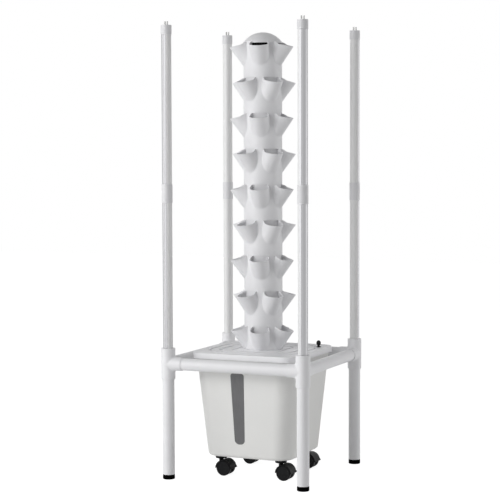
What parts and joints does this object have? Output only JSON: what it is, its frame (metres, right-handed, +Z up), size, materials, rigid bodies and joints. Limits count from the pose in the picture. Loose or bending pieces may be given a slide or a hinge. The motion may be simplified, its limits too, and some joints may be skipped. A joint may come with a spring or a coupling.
{
  "type": "hydroponic tower",
  "caption": "Tall planting tower of slanted-pocket tiers on a square wheeled water tank, inside an open pipe frame with upright tube grow lamps at its corners.",
  "frame": {"origin": "on the floor, under the axis of the tower", "axes": "+Z up along the tower, -Y out of the tank's face with the level window, +X to its right"},
  "size_m": [0.4198, 0.4198, 1.2008],
  "materials": {
    "white_pvc": "satin",
    "black_rubber": "matt",
    "lamp_aluminium": "anodised",
    "opal_lens": "satin",
    "lamp_cap_plastic": "satin",
    "contact_metal": "plain",
    "light_board": "matt",
    "tower_white": "satin",
    "lid_white": "satin",
    "tank_plastic": "satin",
    "window_plastic": "smoked",
    "stopper_black": "satin",
    "dish_black": "matt",
    "riser_pvc": "satin",
    "pump_plastic": "matt",
    "castor_steel": "satin",
    "castor_black": "satin",
    "castor_tread": "satin"
  },
  "bodies": {
    "tank": {"tank_body": "tank_plastic", "level_window": "window_plastic", "pump_housing": "pump_plastic", "pump_strainer": "pump_plastic", "riser_pipe": "riser_pvc", "castor_stem_front_left": "castor_steel", "castor_stem_front_right": "castor_steel", "castor_stem_back_right": "castor_steel", "castor_stem_back_left": "castor_steel"},
    "lid": {"tank_lid": "lid_white"},
    "tower": {"tier_1": "tower_white", "tier_2": "tower_white", "tier_3": "tower_white", "tier_4": "tower_white", "tier_5": "tower_white", "tier_6": "tower_white", "tier_7": "tower_white", "tier_8": "tower_white", "tier_9": "tower_white", "drip_dish": "dish_black"},
    "dome": {"dome_cap": "tower_white"},
    "stopper": {"filler_stopper": "stopper_black"},
    "lamp_frame": {"leg_front_left": "white_pvc", "leg_front_right": "white_pvc", "leg_back_right": "white_pvc", "leg_back_left": "white_pvc", "foot_cap_front_left": "black_rubber", "foot_cap_front_right": "black_rubber", "foot_cap_back_right": "black_rubber", "foot_cap_back_left": "black_rubber", "corner_fitting_front_left": "white_pvc", "corner_fitting_front_right": "white_pvc", "corner_fitting_back_right": "white_pvc", "corner_fitting_back_left": "white_pvc", "rail_front": "white_pvc", "rail_right": "white_pvc", "rail_back": "white_pvc", "rail_left": "white_pvc", "lamp_backs_front_left": "lamp_aluminium", "lamp_backs_front_right": "lamp_aluminium", "lamp_backs_back_right": "lamp_aluminium", "lamp_backs_back_left": "lamp_aluminium", "lamp_lenses_front_left": "opal_lens", "lamp_lenses_front_right": "opal_lens", "lamp_lenses_back_right": "opal_lens", "lamp_lenses_back_left": "opal_lens", "lamp_caps_lower": "lamp_cap_plastic", "lamp_caps_upper": "lamp_cap_plastic", "lamp_pins": "contact_metal", "lamp_boards": "light_board"},
    "castor_front_left": {"castor_hood_front_left": "castor_black"},
    "wheels_front_left": {"castor_wheels_front_left": "castor_tread"},
    "castor_front_right": {"castor_hood_front_right": "castor_black"},
    "wheels_front_right": {"castor_wheels_front_right": "castor_tread"},
    "castor_back_right": {"castor_hood_back_right": "castor_black"},
    "wheels_back_right": {"castor_wheels_back_right": "castor_tread"},
    "castor_back_left": {"castor_hood_back_left": "castor_black"},
    "wheels_back_left": {"castor_wheels_back_left": "castor_tread"}
  },
  "joints": [
    {"name": "lid_lift", "type": "slide", "parent": "tank", "child": "lid", "axis": [0, 0, 1], "range_m": [0, 0.25]},
    {"name": "tower_lift", "type": "slide", "parent": "lid", "child": "tower", "axis": [0, 0, 1], "range_m": [0, 0.12]},
    {"name": "dome_lift", "type": "slide", "parent": "tower", "child": "dome", "axis": [0, 0, 1], "range_m": [0, 0.1]},
    {"name": "stopper_lift", "type": "slide", "parent": "lid", "child": "stopper", "axis": [0, 0, 1], "range_m": [0, 0.05]},
    {"name": "frame_lift", "type": "slide", "parent": "tank", "child": "lamp_frame", "axis": [0, 0, 1], "range_m": [0, 0.9]},
    {"name": "swivel_front_left", "type": "hinge", "parent": "tank", "child": "castor_front_left", "pos_m": [-0.0864, -0.0864, 0.04], "axis": [0, 0, 1], "continuous": true},
    {"name": "roll_front_left", "type": "hinge", "parent": "castor_front_left", "child": "wheels_front_left", "pos_m": [-0.0734, -0.0864, 0.02], "axis": [0, 1, 0], "continuous": true},
    {"name": "swivel_front_right", "type": "hinge", "parent": "tank", "child": "castor_front_right", "pos_m": [0.0864, -0.0864, 0.04], "axis": [0, 0, 1], "continuous": true},
    {"name": "roll_front_right", "type": "hinge", "parent": "castor_front_right", "child": "wheels_front_right", "pos_m": [0.0994, -0.0864, 0.02], "axis": [0, 1, 0], "continuous": true},
    {"name": "swivel_back_right", "type": "hinge", "parent": "tank", "child": "castor_back_right", "pos_m": [0.0864, 0.0864, 0.04], "axis": [0, 0, 1], "continuous": true},
    {"name": "roll_back_right", "type": "hinge", "parent": "castor_back_right", "child": "wheels_back_right", "pos_m": [0.0994, 0.0864, 0.02], "axis": [0, 1, 0], "continuous": true},
    {"name": "swivel_back_left", "type": "hinge", "parent": "tank", "child": "castor_back_left", "pos_m": [-0.0864, 0.0864, 0.04], "axis": [0, 0, 1], "continuous": true},
    {"name": "roll_back_left", "type": "hinge", "parent": "castor_back_left", "child": "wheels_back_left", "pos_m": [-0.0734, 0.0864, 0.02], "axis": [0, 1, 0], "continuous": true}
  ]
}
